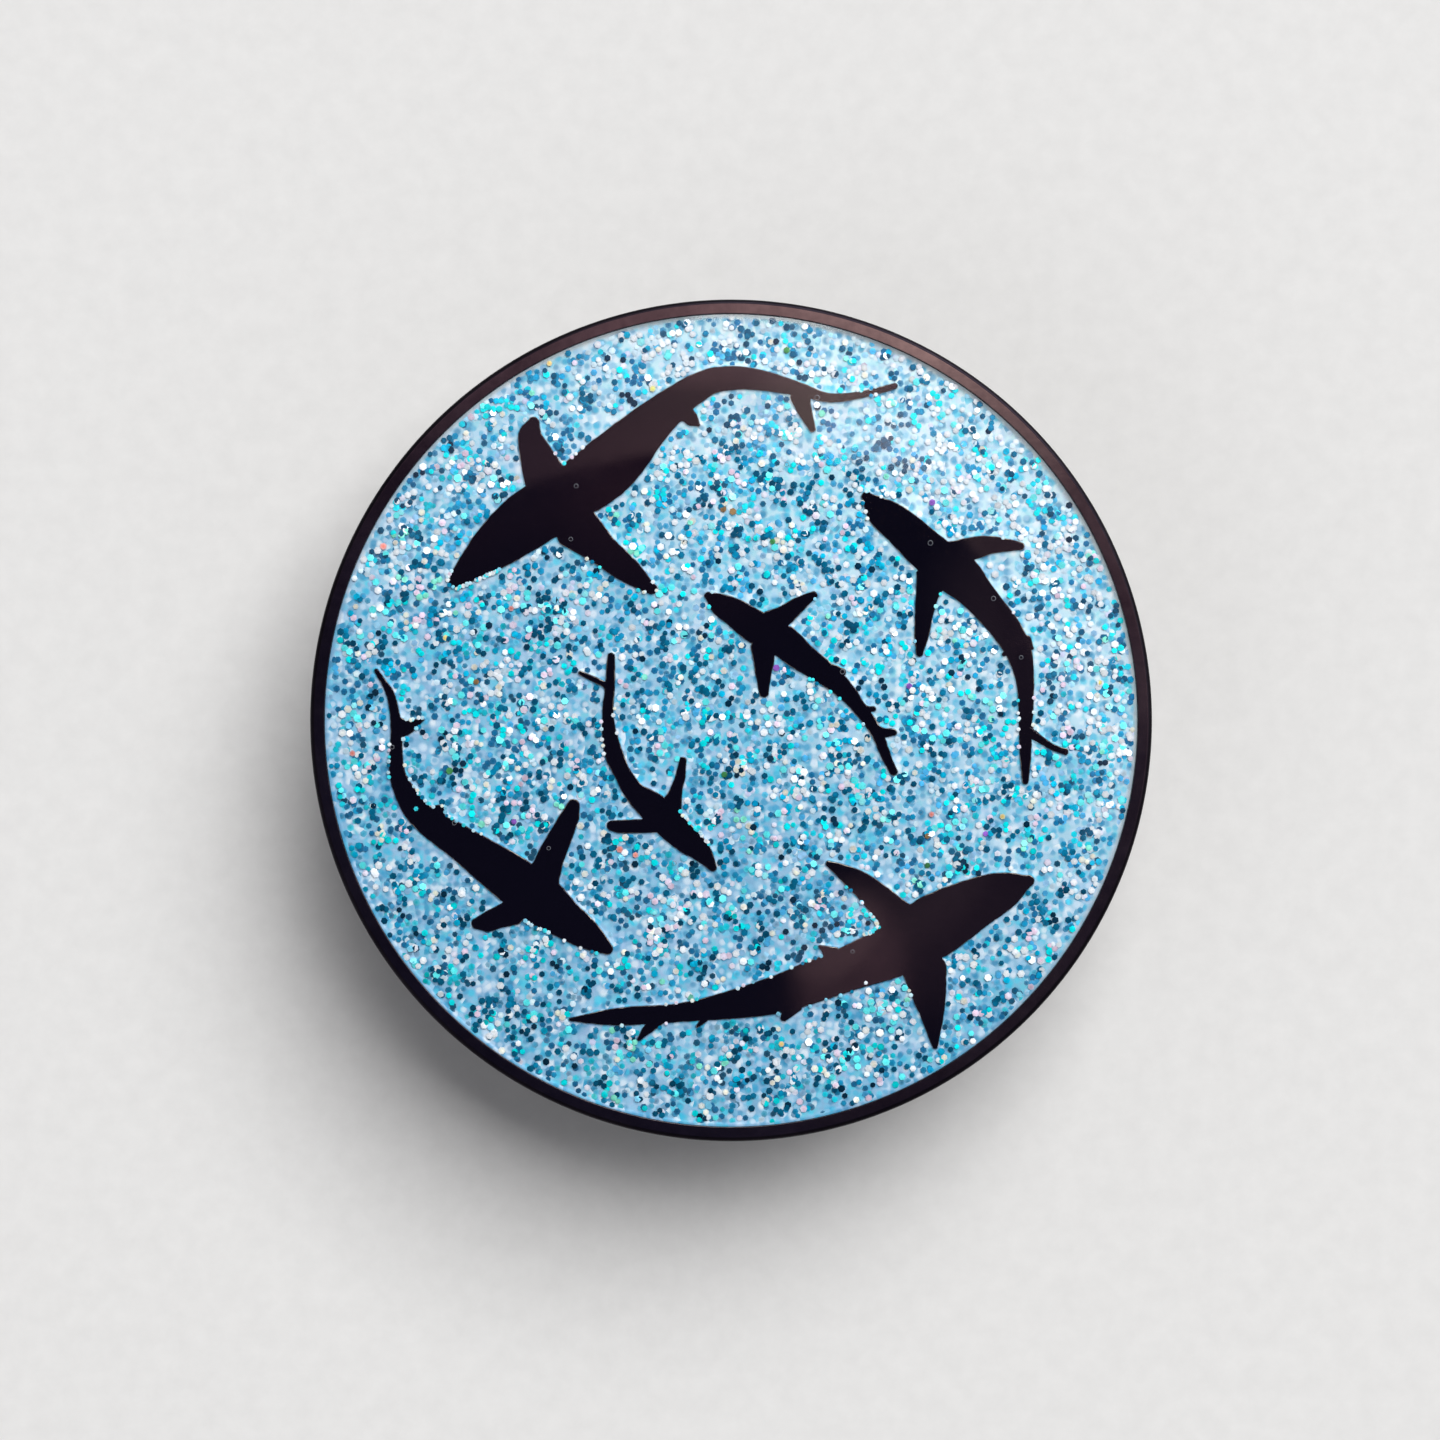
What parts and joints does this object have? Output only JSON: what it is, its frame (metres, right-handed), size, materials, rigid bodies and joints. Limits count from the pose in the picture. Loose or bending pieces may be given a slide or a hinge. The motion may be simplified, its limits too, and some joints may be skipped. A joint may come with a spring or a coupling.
{
  "type": "enamel pin",
  "caption": "Round lapel pin: black metal plate with raised shark silhouettes, glitter enamel, clear dome, needle posts and butterfly clutches.",
  "frame": {"origin": "on the surface that the pin stands on, under the centre of the round plate", "axes": "+Z out of the artwork's face, +Y towards the top of the artwork, +X to its right; the two posts stand along X"},
  "size_m": [0.038, 0.038, 0.0095],
  "materials": {
    "black_nickel": "polished black nickel plating on a die-struck plate",
    "glitter_enamel": "translucent pale blue enamel full of hexagonal glitter in navy, teal, cyan, white and pink",
    "clear_epoxy": "clear glossy epoxy coat, slightly domed",
    "post_metal": "black nickel plated steel needle post",
    "clutch_metal": "bright nickel plating over stamped brass",
    "spring_metal": "nickel plated spring strip, satin, with rolled edges"
  },
  "bodies": {
    "pin": {"base_plate": "black_nickel", "glitter_enamel": "glitter_enamel", "epoxy_dome": "clear_epoxy", "post_left": "post_metal", "post_right": "post_metal"},
    "cap_left": {"clutch_cap_left": "clutch_metal"},
    "spring_left": {"spring_plate_left": "spring_metal"},
    "wing_left_a": {"spring_wing_left_a": "spring_metal"},
    "wing_left_b": {"spring_wing_left_b": "spring_metal"},
    "cap_right": {"clutch_cap_right": "clutch_metal"},
    "spring_right": {"spring_plate_right": "spring_metal"},
    "wing_right_a": {"spring_wing_right_a": "spring_metal"},
    "wing_right_b": {"spring_wing_right_b": "spring_metal"}
  },
  "joints": [
    {"name": "clutch_slide_left", "type": "slide", "parent": "pin", "child": "cap_left", "axis": [0, 0, -1], "range_m": [0, 0.012]},
    {"name": "clutch_turn_left", "type": "hinge", "parent": "cap_left", "child": "spring_left", "pos_m": [-0.0085, 0, 0.0049], "axis": [0, 0, 1], "continuous": true},
    {"name": "wing_squeeze_left_a", "type": "hinge", "parent": "spring_left", "child": "wing_left_a", "pos_m": [-0.0076, 0, 0.00492], "axis": [0, 1, 0], "range_deg": [0, 10], "stiffness_Nm_per_rad": 0.025},
    {"name": "wing_squeeze_left_b", "type": "hinge", "parent": "spring_left", "child": "wing_left_b", "pos_m": [-0.0094, 0, 0.00492], "axis": [0, -1, 0], "range_deg": [0, 10], "stiffness_Nm_per_rad": 0.025},
    {"name": "clutch_slide_right", "type": "slide", "parent": "pin", "child": "cap_right", "axis": [0, 0, -1], "range_m": [0, 0.012]},
    {"name": "clutch_turn_right", "type": "hinge", "parent": "cap_right", "child": "spring_right", "pos_m": [0.0085, 0, 0.0049], "axis": [0, 0, 1], "continuous": true},
    {"name": "wing_squeeze_right_a", "type": "hinge", "parent": "spring_right", "child": "wing_right_a", "pos_m": [0.0094, 0, 0.00492], "axis": [0, 1, 0], "range_deg": [0, 10], "stiffness_Nm_per_rad": 0.025},
    {"name": "wing_squeeze_right_b", "type": "hinge", "parent": "spring_right", "child": "wing_right_b", "pos_m": [0.0076, 0, 0.00492], "axis": [0, -1, 0], "range_deg": [0, 10], "stiffness_Nm_per_rad": 0.025}
  ],
  "couplings": [
    {"joint": "wing_squeeze_left_b", "follows": "wing_squeeze_left_a", "ratio": 1},
    {"joint": "wing_squeeze_right_b", "follows": "wing_squeeze_right_a", "ratio": 1}
  ]
}
